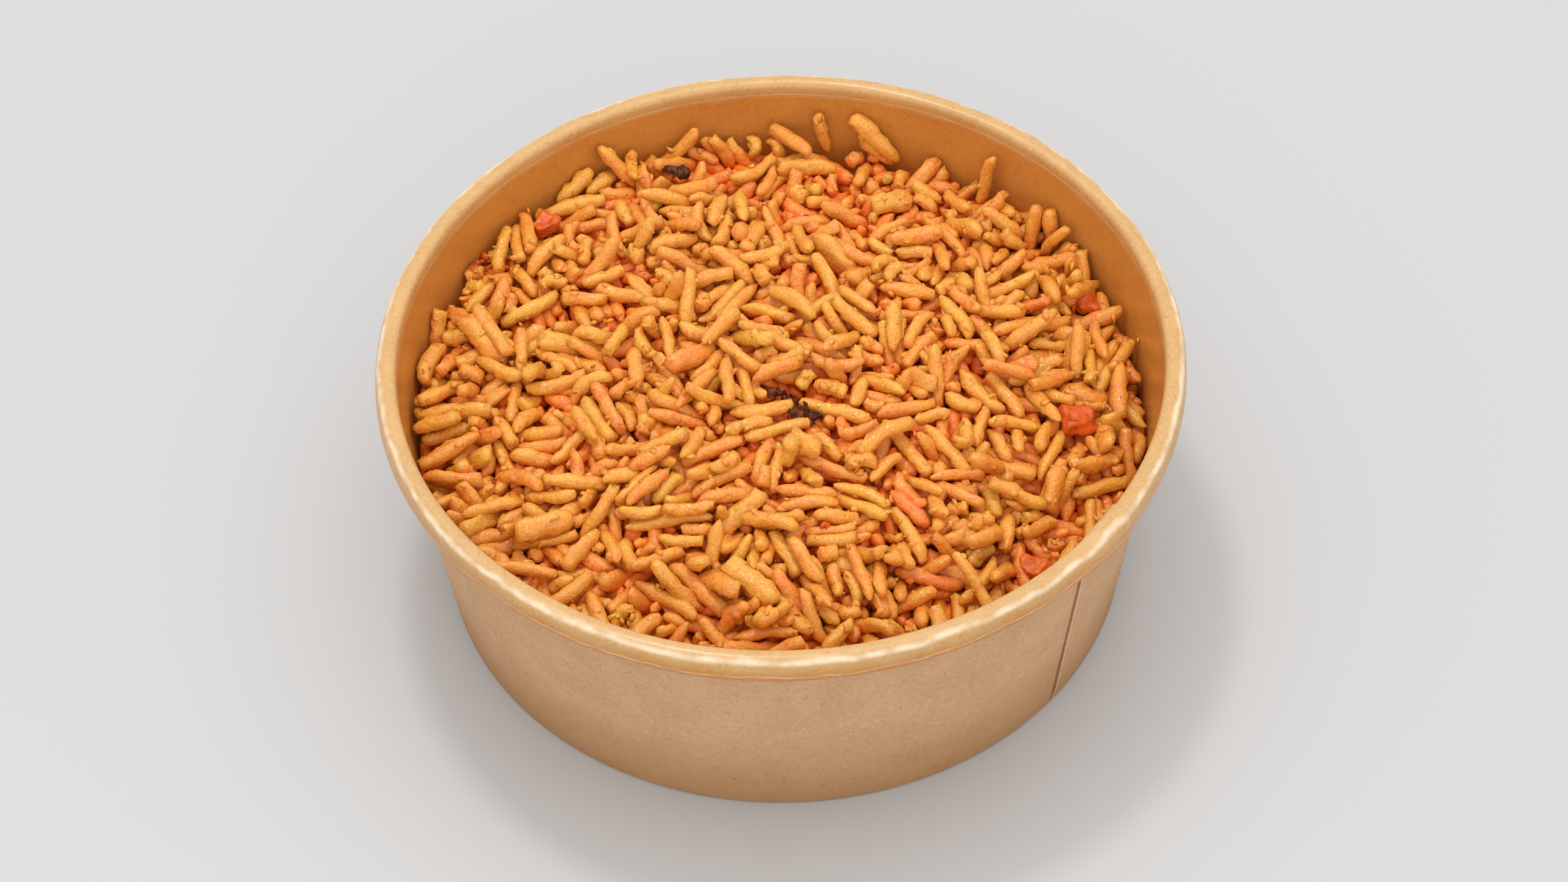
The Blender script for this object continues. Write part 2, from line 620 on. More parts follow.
def heights(x, y):
    """heap_height for arrays, read between the points of a grid."""
    gx = np.clip(x / GRID_STEP + GRID_HALF, 0, 2 * GRID_HALF - 1.001)
    gy = np.clip(y / GRID_STEP + GRID_HALF, 0, 2 * GRID_HALF - 1.001)
    i, j = gx.astype(int), gy.astype(int)
    u, v = gx - i, gy - j
    low = grid_height[i, j] * (1 - v) + grid_height[i, j + 1] * v
    high = grid_height[i + 1, j] * (1 - v) + grid_height[i + 1, j + 1] * v
    return low * (1 - u) + high * u


print("heap top in mm:", round(heap_height(0, 0) / MM, 1),
      "frame's rice reaches", round(rice_high.z / MM, 1))

# %% [markdown]
# ## A point of the photograph, on the heap
# Some grains stand out in the photograph: bright yellow ones, salmon ones, grains that lean on the wall.
# To lay one where it shows, a ray goes from the camera through its pixel, and the place is where the ray
# meets the heap, or the wall for the end of a grain that leans on it.

# %% From a pixel to the heap
MARKED_LIFT = 2.1 * MM
SUNK_LIFT = 0.2 * MM
LEAN_CLEAR = 1.6 * MM


def pixel_ray(px, py):
    """Direction from the camera through a pixel of the photograph."""
    across = (px - PHOTO_WIDTH / 2) / FOCAL_PIXELS
    down = (py - PHOTO_HEIGHT / 2) / FOCAL_PIXELS
    return (camera_right * across - camera_up * down - back).normalized()


def on_heap(px, py, lift=MARKED_LIFT):
    """Where the ray through a pixel meets the heap's surface, raised by lift."""
    ray = pixel_ray(px, py)
    z = HEAP_CROWN
    for _ in range(20):
        spot = camera_place + ray * ((z - camera_place.z) / ray.z)
        z = heap_height(spot.x, spot.y) + lift
    return spot


def on_wall(px, py):
    """Where the ray through a pixel meets the wall's inside, kept clear of it by a grain's half width."""
    ray = pixel_ray(px, py)
    z = HEAP_CROWN
    for _ in range(40):
        spot = camera_place + ray * ((z - camera_place.z) / ray.z)
        over = math.hypot(spot.x, spot.y) - (wall_inside(z) - LEAN_CLEAR)
        z += over * 0.6
    return spot


def in_heap(px, py):
    """A place just under the heap's surface, for the low end of a grain that leans on the wall."""
    return on_heap(px, py, SUNK_LIFT)


# Grains that stand out and lie on the heap: the pixels of both ends, the width in mm, and the tone, from 0
# for salmon to 1 for yellow.
LYING_GRAINS = (
    (1312, 660, 1431, 690, 2.6, 0.72), (1197, 682, 1304, 667, 3, 0.55), (1220, 721, 1331, 692, 2.2, 0.62),
    (1338, 628, 1391, 647, 2.8, 0.5), (1310, 636, 1333, 615, 2.6, 0.8), (1237, 592, 1275, 577, 3, 0.6),
    (1282, 727, 1270, 807, 2.4, 0.5), (1427, 787, 1480, 747, 2.5, 0.5), (1500, 687, 1560, 680, 2.3, 0.6),
    (1550, 650, 1610, 673, 2.7, 0.6), (1573, 610, 1647, 680, 3, 0.62), (1602, 733, 1620, 668, 2.4, 0.55),
    (1440, 682, 1537, 660, 2.5, 0.4), (1377, 717, 1442, 700, 2.7, 0.25), (1333, 713, 1383, 753, 2.5, 0.65),
    (1400, 667, 1420, 627, 2.7, 0.55), (1527, 783, 1617, 780, 2.2, 0.4), (1689, 566, 1758, 568, 2.3, 0.98),
    (1760, 814, 1853, 790, 2.6, 0.9), (1463, 806, 1527, 865, 2.9, 0.02), (1472, 782, 1515, 838, 2.9, 0.1),
    (1467, 940, 1585, 962, 2.8, 0.03), (1670, 890, 1685, 965, 2.5, 0.12), (1468, 832, 1520, 925, 2.7, 0.62),
    (1372, 792, 1462, 832, 2.3, 0.8), (1620, 802, 1640, 850, 2.8, 0.88), (1590, 925, 1630, 900, 2.8, 0.95),
    (1272, 803, 1376, 812, 2.5, 0.5), (1274, 832, 1378, 824, 2.5, 0.45), (1310, 752, 1425, 787, 2.4, 0.35),
    (1468, 715, 1527, 779, 2.5, 0.55), (1520, 697, 1594, 779, 2.6, 0.62), (1071, 824, 1120, 780, 2.9, 1),
    (960, 655, 1005, 725, 3.3, 0.9), (1015, 660, 1042, 706, 2.5, 0.55), (903, 762, 961, 712, 2.4, 0.6),
    (863, 642, 964, 619, 2.6, 0.55), (1025, 864, 1172, 847, 2.4, 0.85), (1079, 885, 1157, 890, 2.4, 0.85),
    (1135, 813, 1236, 763, 2.6, 0.52), (840, 899, 950, 876, 2.3, 0.75), (1102, 926, 1194, 1009, 3, 0.35),
    (1047, 954, 1148, 1018, 2.8, 0.55), (1203, 1046, 1313, 1037, 2.4, 0.5), (1267, 871, 1313, 945, 2.7, 0.88),
    (1368, 926, 1377, 982, 2.4, 0.5), (1391, 936, 1414, 991, 2.4, 0.85), (1625, 614, 1680, 688, 2.6, 0.62),
    (1708, 789, 1745, 706, 2.4, 0.6), (1662, 761, 1625, 706, 2.5, 0.55), (1873, 712, 1873, 761, 2.6, 0.6),
    (824, 536, 920, 480, 2.9, 0.88), (762, 516, 812, 466, 2.5, 0.7), (750, 466, 798, 475, 2.9, 0.96),
    (725, 559, 771, 550, 3, 0.95), (689, 724, 776, 701, 2.8, 0.75), (838, 436, 882, 484, 2.4, 0.6),
    (955, 468, 1025, 444, 2.6, 0.66), (1148, 533, 1223, 467, 2.6, 0.85), (1215, 504, 1308, 522, 2.4, 0.8),
    (1547, 486, 1598, 555, 2.8, 0.85), (1047, 541, 1074, 591, 2.8, 0.85), (1428, 394, 1464, 419, 2.4, 0.9),
    (1469, 412, 1533, 417, 2.4, 0.7), (964, 320, 1001, 274, 3, 0.8), (1010, 330, 1037, 366, 2.6, 0.7),
)
# Grains that lean on the wall or stand in the heap: for each end also what carries it.
HEAP, SUNK, WALL = on_heap, in_heap, on_wall
LEANING_GRAINS = (
    (SUNK, (1362, 246), WALL, (1342, 188), 2.5, 0.6),
    (HEAP, (1489, 244), WALL, (1400, 188), 3.4, 0.62),
    (SUNK, (1470, 258), WALL, (1412, 204), 3, 0.45),
    (SUNK, (1444, 262), HEAP, (1440, 226), 2.6, 0.4),
    (SUNK, (1606, 338), WALL, (1634, 254), 2.4, 0.42),
    (SUNK, (1752, 402), WALL, (1724, 343), 2.8, 0.55),
    (SUNK, (1708, 418), WALL, (1755, 374), 2.2, 0.5),
    (SUNK, (1290, 262), WALL, (1262, 226), 2.6, 0.6),
    (SUNK, (1240, 262), WALL, (1236, 222), 2.4, 0.7),
    (SUNK, (1180, 268), WALL, (1128, 244), 2.5, 0.35),
)
MARKED_GRAINS = [(HEAP, row[:2], HEAP, row[2:4], *row[4:]) for row in LYING_GRAINS] + [*LEANING_GRAINS]
print("marked grains:", len(MARKED_GRAINS))

# %% [markdown]
# ## Pile of grains
# Random grains that simply cross each other look like one knitted mass. Real grains touch but don't cross,
# so their places are settled first. Each grain is a capsule, a thick line with round ends. The capsules
# start in loose layers, are pulled down a little each step, and are pushed apart where two overlap or where
# one meets the core or the wall. The marked grains and the toppings are capsules too, but they don't move.
# A topping's capsule points at the viewer, so that no loose grain comes to lie in front of it.

# %% Capsules that don't move
TOPPINGS = ("tomato_right", "tomato_back_left", "pepper_right", "pepper_front", "charred_onion", "clove")
TOPPING_SHARE = {"charred_onion": 0.5, "clove": 0.4, "tomato_right": 0.3, "pepper_front": 0.36}
USUAL_SHARE = 0.34
TOPPING_REACH = 5 * MM
CAP_INSET = 0.4
VIEW_STEPS = (0.8, 1.7, 2.6)


def marked_capsules():
    """Ends, width and tone of each marked grain, inside the wall and drawn in by the round caps."""
    for carry_a, pixel_a, carry_b, pixel_b, width, tone in MARKED_GRAINS:
        a, b = carry_a(*pixel_a), carry_b(*pixel_b)
        for end in (a, b):
            room = wall_inside(end.z) - width / 2 * MM - GAP
            end.xy *= min(1, room / math.hypot(end.x, end.y))
        inset = (b - a).normalized() * width * MM * CAP_INSET
        yield a + inset, b - inset, width * MM, tone


def topping_capsules():
    """A capsule from the middle of each topping's box towards the viewer."""
    for node in TOPPINGS:
        low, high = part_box(node)
        middle = (low + high) / 2
        width = max(high.x - low.x, high.y - low.y) * 2 * TOPPING_SHARE.get(node, USUAL_SHARE)
        yield middle, middle + back * TOPPING_REACH, width, 0


def clear_view_capsules():
    """Capsules just above each marked grain, towards the viewer, which keep the view to it free."""
    for (a, b, width, tone), (_, _, carrier, *_) in zip(marked_capsules(), MARKED_GRAINS):
        if carrier is WALL:
            continue
        for steps in VIEW_STEPS:
            yield a + back * width * steps, b + back * width * steps, width * 0.8, tone


fixed_capsules = [*marked_capsules(), *clear_view_capsules(), *topping_capsules()]
MARKED_COUNT = len(MARKED_GRAINS)
FIXED_COUNT = len(fixed_capsules)

# %% Draw the loose grains
GRAIN_TOTAL = 2150
LENGTH_MEAN = 10.9 * MM
LENGTH_SPREAD = 1.7 * MM
LENGTHS = (6 * MM, 14.5 * MM)
SHORT_LENGTHS = (3.2 * MM, 6.0 * MM)
WIDTH_MEAN = 2.6 * MM
WIDTH_SPREAD = 0.28 * MM
WIDTHS = (2.0 * MM, 3.4 * MM)
TILT_SPREAD = math.radians(22)
STREWN_RADIUS = 68.5 * MM
STREWN_ABOVE = 4.0 * MM
PAIR_SHARE = 0.16
SHORT_SHARE = 0.24
SEED = 11

draw = np.random.default_rng(SEED)
GOLDEN_ANGLE = math.pi * (3 - math.sqrt(5))


def draw_grains():
    """Ends, widths and tones of all grains before they settle, the fixed capsules first."""
    count = GRAIN_TOTAL
    k = np.arange(count)
    radius = STREWN_RADIUS * np.sqrt((k + 0.5) / count)
    azimuth = k * GOLDEN_ANGLE + draw.normal(0, 0.05, count)
    x, y = radius * np.cos(azimuth), radius * np.sin(azimuth)
    layer = draw.permutation(count) / count
    length = np.clip(draw.normal(LENGTH_MEAN, LENGTH_SPREAD, count), *LENGTHS)
    short = draw.random(count) < SHORT_SHARE
    length[short] = draw.uniform(*SHORT_LENGTHS, short.sum())
    width = np.clip(draw.normal(WIDTH_MEAN, WIDTH_SPREAD, count), *WIDTHS)
    heading = draw.uniform(0, 2 * math.pi, count)
    tilt = np.clip(draw.normal(0, TILT_SPREAD, count), -1.3, 1.3)
    z = heights(x, y) - LOOSE_DEPTH + width / 2 + layer * (LOOSE_DEPTH + STREWN_ABOVE)
    paired = np.nonzero(draw.random(count - 1) < PAIR_SHARE)[0]
    for values in (x, y, z, heading, tilt, length):
        values[paired + 1] = values[paired]
    heading[paired + 1] += draw.normal(0, 0.1, len(paired))
    x[paired + 1] += width[paired] * np.sin(heading[paired])
    y[paired + 1] -= width[paired] * np.cos(heading[paired])
    middle = np.stack([x, y, z], 1)
    along = np.stack([np.cos(heading) * np.cos(tilt), np.sin(heading) * np.cos(tilt), np.sin(tilt)], 1)
    half = (length - width * 2 * CAP_INSET)[:, None] / 2
    tone = np.clip(draw.normal(0.5, 0.16, count), 0.1, 0.95)
    fixed_a, fixed_b, fixed_width, fixed_tone = zip(*fixed_capsules)
    return (
        np.concatenate([fixed_a, middle - along * half]),
        np.concatenate([fixed_b, middle + along * half]),
        np.concatenate([fixed_width, width]),
        np.concatenate([fixed_tone, tone]),
    )


# %% Push capsules apart
TOUCH = 0.47
PUSH = 0.39
BLOCK = 400


def near_pairs(a, b, width, reach):
    """Pairs of capsules whose middles are near enough to touch."""
    middle = (a + b) / 2
    half = (np.linalg.norm(b - a, axis=1) + width) / 2
    pairs = []
    for start in range(0, len(a), BLOCK):
        block = slice(start, start + BLOCK)
        gap = np.linalg.norm(middle[block, None] - middle[None], axis=2)
        i, j = np.nonzero(gap < half[block, None] + half[None] + reach)
        keep = i + start < j
        pairs.append(np.stack([i[keep] + start, j[keep]], 1))
    return np.concatenate(pairs)


def closest(p, d, q, e):
    """Shares along two segments p + s d and q + t e of the points where they are nearest."""
    r = p - q
    dd, ee, de = (d * d).sum(1), (e * e).sum(1), (d * e).sum(1)
    dr, er = (d * r).sum(1), (e * r).sum(1)
    s = np.clip((de * er - dr * ee) / np.maximum(dd * ee - de * de, 1e-18), 0, 1)
    t = np.clip((de * s + er) / np.maximum(ee, 1e-18), 0, 1)
    s = np.clip((de * t - dr) / np.maximum(dd, 1e-18), 0, 1)
    return s, t


def separate(a, b, width, free, pairs):
    """Pushes overlapping capsules apart at the point where they touch. Returns their number and depth."""
    i, j = pairs[:, 0], pairs[:, 1]
    s, t = closest(a[i], b[i] - a[i], a[j], b[j] - a[j])
    gap = a[i] + (b[i] - a[i]) * s[:, None] - a[j] - (b[j] - a[j]) * t[:, None]
    far = np.maximum(np.linalg.norm(gap, axis=1), 1e-7)
    deep = (width[i] + width[j]) * TOUCH - far
    hit = deep > 0
    i, j, s, t = i[hit], j[hit], s[hit], t[hit]
    share_i = PUSH * free[i] * (2 - free[j])
    share_j = PUSH * free[j] * (2 - free[i])
    push = gap[hit] / far[hit, None] * deep[hit, None]
    for ends, weight_i, weight_j in ((a, 1 - s, 1 - t), (b, s, t)):
        np.add.at(ends, i, push * (weight_i * share_i)[:, None])
        np.add.at(ends, j, -push * (weight_j * share_j)[:, None])
    return hit.sum(), deep[hit].mean()


def keep_in_bowl(ends, width, free):
    """Keeps capsule ends above the core and inside the wall."""
    floor_z = heights(ends[:, 0], ends[:, 1]) - LOOSE_DEPTH + width / 2
    ends[:, 2] += np.maximum(0, floor_z - ends[:, 2]) * free
    room = wall_centre(ends[:, 2]) - PAPER / 2 - GAP - width / 2
    far = np.hypot(ends[:, 0], ends[:, 1])
    over = np.maximum(0, far - room) * free / np.maximum(far, 1e-6)
    ends[:, :2] -= ends[:, :2] * over[:, None]


# %% Settle the grains
SETTLE_STEPS = 220
PAIR_STEPS = 12
SINK_STEPS = 150
SINK = 0.06 * MM
AHEAD = 0.3 * MM
COVER = 0.33


def settle(a, b, width):
    """Lets the capsules sink and pushes them apart, step by step, with their lengths kept."""
    free = np.ones(len(a))
    free[:FIXED_COUNT] = 0
    length = np.linalg.norm(b - a, axis=1)
    for step in range(SETTLE_STEPS):
        if step % PAIR_STEPS == 0:
            pairs = near_pairs(a, b, width, 1.5 * MM)
        if step < SINK_STEPS:
            for ends in (a, b):
                ends[:, 2] -= SINK * free
        touching, depth = separate(a, b, width, free, pairs)
        middle, along = (a + b) / 2, b - a
        along *= (length / np.maximum(np.linalg.norm(along, axis=1), 1e-7))[:, None] / 2
        a[:], b[:] = middle - along, middle + along
        for ends in (a, b):
            keep_in_bowl(ends, width, free)
    print("settled:", touching, "contacts, on average", round(depth / MM, 3), "mm deep")


def hides_marked(a, b, width):
    """Which capsules lie in front of a marked grain or a topping, as the camera sees them."""
    seen = np.array([camera_right, camera_up]).T
    hides = np.zeros(len(a), bool)
    for i in [*range(MARKED_COUNT), *range(FIXED_COUNT - len(TOPPINGS), FIXED_COUNT)]:
        mine, others = b[i] - a[i], b - a
        s, t = closest((a[i] @ seen)[None], (mine @ seen)[None], a @ seen, others @ seen)
        apart = a[i] + mine * s[:, None] - a - others * t[:, None]
        ahead = -apart @ np.array(back) > AHEAD
        hides |= ahead & (np.linalg.norm(apart @ seen, axis=1) < COVER * (width[i] + width))
    return hides


grain_a, grain_b, grain_width, grain_tone = draw_grains()
settle(grain_a, grain_b, grain_width)
in_way = hides_marked(grain_a, grain_b, grain_width)
number = np.arange(len(grain_a))
laid = (number < MARKED_COUNT) | (number >= FIXED_COUNT) & ~in_way
print("loose grains taken away in front of marked ones:", int(in_way[FIXED_COUNT:].sum()))
grain_a, grain_b, grain_width, grain_tone = (
    values[laid] for values in (grain_a, grain_b, grain_width, grain_tone))
grain_middle = (grain_a + grain_b) / 2
above_core = grain_middle[:, 2] - heights(grain_middle[:, 0], grain_middle[:, 1])
print("grain middles above the frame's core in mm:", np.round(np.percentile(above_core, (5, 50, 95)) / MM, 1))

# %% [markdown]
# ## Forms of a grain
# A cooked long grain is a soft rod, a little fuller in the middle. One end tapers and the other is rounder.
# Many have broken: those end in a ragged cut. Some have burst and lie open along a groove. Each form starts
# as a UV sphere, whose rings are slid along the grain. It keeps only a few dozen faces, as it is repeated
# about two thousand times, and it remembers each point's place along and across the grain, so that the
# finish can draw fibres that run along every grain.

# %% Grain forms
SIDES = 8
RINGS = 10
RING_PLACES = (0, 0.24, 0.48, 0.72, 0.93, 1)
POINTED, ROUND, CUT = (4.0, 0.6), (8.0, 0.5), (30.0, 0.5)
JITTER = 0.06


def ring_place(latitude):
    """Place along the grain, from -1 to 1, of a ring of the sphere."""
    share = abs(latitude) / (math.pi / 2) * (len(RING_PLACES) - 1)
    return math.copysign(float(np.interp(share, range(len(RING_PLACES)), RING_PLACES)), latitude)


def grain_form(name, seed, ends, bend=0.0, groove=0.0, ragged=0.0, flat=1.0):
    """Mesh of one grain form, 1 long and about 1 wide, so that a grain's size is its scale."""
    shift = Vector((seed * 3.7, seed * 1.3, seed * 0.7))
    shake = random.Random(seed)
    bm = bmesh.new()
    bmesh.ops.create_uvsphere(bm, u_segments=SIDES, v_segments=RINGS, radius=1)
    own_place = bm.verts.layers.float_vector.new("own_place")
    for vert in bm.verts:
        around = math.atan2(vert.co.y, vert.co.x)
        t = ring_place(math.asin(max(-1, min(1, vert.co.z))))
        power, root = ends[t > 0]
        radius = 0.5 * max(0.0, 1 - abs(t) ** power) ** root * (1 - 0.12 * t * t)
        round_place = Vector((math.cos(around), math.sin(around), 2.2 * t))
        broad, fine = (noise.noise(round_place * pitch + shift) for pitch in (0.8, 1.9))
        radius *= 1 + 0.3 * broad + 0.2 * fine
        radius *= shake.uniform(1 - JITTER, 1 + JITTER)
        radius *= 1 - groove * (abs(around - math.pi / 4) < 0.1) * (1 - 0.4 * t * t)
        torn = ragged * noise.noise(round_place * 1.7 - shift) * (t > 0.8)
        side = radius * math.cos(around) + bend * (0.4 - t * t)
        other = radius * math.sin(around) * flat + 0.3 * bend * math.sin(3 * t)
        vert.co = Vector((side, other, 0.5 * t + 0.14 * torn))
        vert[own_place] = vert.co
    return smooth_mesh(name, bm)


def form_collection(name, meshes):
    """A collection that the node tree picks its forms from. It isn't linked to the scene."""
    forms = bpy.data.collections.new(name)
    for mesh in meshes:
        forms.objects.link(bpy.data.objects.new(mesh.name, mesh))
    return forms


whole_forms = form_collection("whole", [
    grain_form(f"whole_{n}", n + 1, (ends, other), bend=bend)
    for n, (ends, other, bend) in enumerate((
        (POINTED, ROUND, 0.0), (POINTED, CUT, 0.2), (POINTED, ROUND, 0.3), (ROUND, CUT, 0.12),
        (POINTED, ROUND, 0.55), (ROUND, CUT, 0.38), (POINTED, CUT, 0.1), (ROUND, ROUND, 0.25)))
])
broken_forms = form_collection("broken", [
    grain_form(f"broken_{n}", n + 20, (ends, CUT), bend=0.07 * n, ragged=1.0)
    for n, ends in enumerate((ROUND, CUT, POINTED, ROUND, CUT))
])
split_forms = form_collection("split", [
    grain_form(f"split_{n}", n + 40, (ends, CUT), bend=0.12 * n, groove=0.6, ragged=1.2, flat=1.35)
    for n, ends in enumerate((POINTED, ROUND, POINTED, ROUND))
])

# %% [markdown]
# ## Laying the grains by Geometry Nodes
# The settled places are the vertices of a small mesh, with the turn, size and tone of each grain as
# attributes. A node tree puts a form on each vertex, picks which form and how it is rolled by a fixed seed,
# makes the copies real, and shifts their points by a noise in space, so that no two grains are alike. The
# result is one plain mesh for each kind of grain.

# %% Tree that lays pieces on points
def laying_tree():
    """A group that lays forms on points and gives one real, uneven, painted mesh."""
    tree = bpy.data.node_groups.new("lay pieces on points", "GeometryNodeTree")
    for name, kind in (("Geometry", "Geometry"), ("Forms", "Collection"), ("Thickness", "Float"),
                       ("Unevenness", "Float"), ("Lump Size", "Float"), ("Seed", "Int"),
                       ("Material", "Material")):
        tree.interface.new_socket(name, in_out="INPUT", socket_type="NodeSocket" + kind)
    tree.interface.new_socket("Geometry", in_out="OUTPUT", socket_type="NodeSocketGeometry")
    given = add(tree, "NodeGroupInput").outputs
    forms = add(tree, "GeometryNodeCollectionInfo", {
        "Collection": given["Forms"], "Separate Children": True, "Reset Children": True})
    pick = add(tree, "FunctionNodeRandomValue", {4: 0, 5: 99, "Seed": given["Seed"]}, data_type="INT")

    # How each piece lies: turned along its grain, and rolled about its own length.
    lie = add(tree, "GeometryNodeInputNamedAttribute", {"Name": "turn"}, data_type="FLOAT_VECTOR")
    lie = add(tree, "FunctionNodeEulerToRotation", {0: lie})
    spin = add(tree, "FunctionNodeRandomValue", {2: 0.0, 3: 2 * math.pi, "Seed": given["Seed"]},
               data_type="FLOAT")
    spin = add(tree, "FunctionNodeAxisAngleToRotation", {"Axis": (0, 0, 1), "Angle": spin})
    rolled = add(tree, "FunctionNodeRotateRotation", {0: lie, 1: spin}, rotation_space="LOCAL")
    size = add(tree, "GeometryNodeInputNamedAttribute", {"Name": "size"}, data_type="FLOAT_VECTOR")
    thick = add(tree, "ShaderNodeCombineXYZ", {0: given["Thickness"], 1: given["Thickness"], 2: 1.0})
    size = add(tree, "ShaderNodeVectorMath", {0: size, 1: thick}, operation="MULTIPLY")
    laid = add(tree, "GeometryNodeInstanceOnPoints", {
        "Points": given["Geometry"], "Instance": forms, "Pick Instance": True,
        "Instance Index": pick, "Rotation": rolled, "Scale": size})
    real = add(tree, "GeometryNodeRealizeInstances", {"Geometry": laid})

    # A noise in space shifts the points, so that no two pieces are alike.
    lumps = add(tree, "ShaderNodeMath", {0: 1.0, 1: given["Lump Size"]}, operation="DIVIDE")
    lumps = add(tree, "ShaderNodeTexNoise", {"Scale": lumps, "Detail": 2.0}).outputs["Color"]
    lumps = add(tree, "ShaderNodeVectorMath", {0: lumps, 1: (0.5, 0.5, 0.5)}, operation="SUBTRACT")
    lumps = add(tree, "ShaderNodeVectorMath", {0: lumps, "Scale": given["Unevenness"]}, operation="SCALE")
    uneven = add(tree, "GeometryNodeSetPosition", {"Geometry": real, "Offset": lumps})
    painted = add(tree, "GeometryNodeSetMaterial", {"Geometry": uneven, "Material": given["Material"]})
    add(tree, "NodeGroupOutput", {0: painted})
    return tree


lay_tree = laying_tree()


# %% Lay one kind of piece
WALL_CLEAR = 0.1 * MM
LAY_LUMP = 1.2 * MM


def mesh_points(mesh):
    """The mesh's points as an array of rows x, y, z."""
    places = np.empty(len(mesh.vertices) * 3)
    mesh.vertices.foreach_get("co", places)
    return places.reshape(-1, 3)


def press_inside(mesh):
    """Presses points that would pass the wall flat against its inside, as grains lie against it."""
    places = mesh_points(mesh)
    far = np.maximum(np.hypot(places[:, 0], places[:, 1]), 1e-9)
    room = wall_inside(places[:, 2]) - WALL_CLEAR
    places[:, :2] *= np.minimum(1, room / far)[:, None]
    mesh.vertices.foreach_set("co", places.ravel())


def store(mesh, name, kind, values):
    """Stores an attribute, FLOAT or FLOAT_VECTOR, on the mesh's points."""
    field = "vector" if kind == "FLOAT_VECTOR" else "value"
    mesh.attributes.new(name, kind, "POINT").data.foreach_set(field, np.ravel(values))


def mark_depth(mesh):
    """Stores how far each point lies below the heap's surface, in mm, for the redder stock down there."""
    x, y, z = mesh_points(mesh).T
    store(mesh, "sunk_mm", "FLOAT", (heights(x, y) - z) / MM)


def lay(name, ends_a, ends_b, width, tone, forms, material, seed, thickness=1.0, uneven=1.1 * MM):
    """One plain mesh with a form from the collection laid between each pair of ends."""
    along = ends_b - ends_a
    length = np.linalg.norm(along, axis=1) + width * 2 * CAP_INSET
    turns = [Vector(d).to_track_quat("Z", "Y").to_euler() for d in along]
    points = bpy.data.meshes.new(name + "_points")
    points.from_pydata(((ends_a + ends_b) / 2).tolist(), [], [])
    store(points, "turn", "FLOAT_VECTOR", turns)
    store(points, "size", "FLOAT_VECTOR", np.stack([width, width, length], 1))
    store(points, "tone", "FLOAT", tone)
    holder = plain_mesh(name + "_points", points)
    modifier = holder.modifiers.new("lay", "NODES")
    modifier.node_group = lay_tree
    values = {"Forms": forms, "Thickness": thickness, "Unevenness": uneven, "Lump Size": LAY_LUMP,
              "Seed": seed, "Material": material}
    for item in lay_tree.interface.items_tree:
        if item.in_out == "INPUT" and item.name in values:
            modifier[item.identifier] = values[item.name]
    graph = bpy.context.evaluated_depsgraph_get()
    mesh = bpy.data.meshes.new_from_object(
        holder.evaluated_get(graph), preserve_all_data_layers=True, depsgraph=graph)
    bpy.data.objects.remove(holder)
    for spare in ("turn", "size"):
        mesh.attributes.remove(mesh.attributes[spare])
    press_inside(mesh)
    mark_depth(mesh)
    return plain_mesh(name, mesh)


# %% [markdown]
# ## Cooked rice
# The grains were cooked in tomato and pepper stock with oil. They are moist and slightly translucent, so
# light goes a little way in and comes back warmer: subsurface scattering does that. The stock colours them
# unevenly, from salmon through orange to yellow where the grain is thick and clean, and leaves red flecks
# of tomato skin. A thin film of oil gives small soft glints.

# %% Rice materials
def own_fibres(tree, across_mm, along_mm):
    """Noise stretched along each grain, from the place that every grain's points remember."""
    own = add(tree, "ShaderNodeAttribute", attribute_name="own_place").outputs["Vector"]
    tone = add(tree, "ShaderNodeAttribute", attribute_name="tone").outputs["Fac"]
    across, along = WIDTH_MEAN / MM / across_mm, LENGTH_MEAN / MM / along_mm
    own = add(tree, "ShaderNodeVectorMath", {0: own, 1: (across, across, along)}, operation="MULTIPLY")
    apart = add(tree, "ShaderNodeVectorMath", {0: (371, 913, 537), "Scale": tone}, operation="SCALE")
    own = add(tree, "ShaderNodeVectorMath", {0: own, 1: apart}, operation="ADD")
    return add(tree, "ShaderNodeTexNoise", {"Vector": own, "Scale": 1.0, "Detail": 2.0})


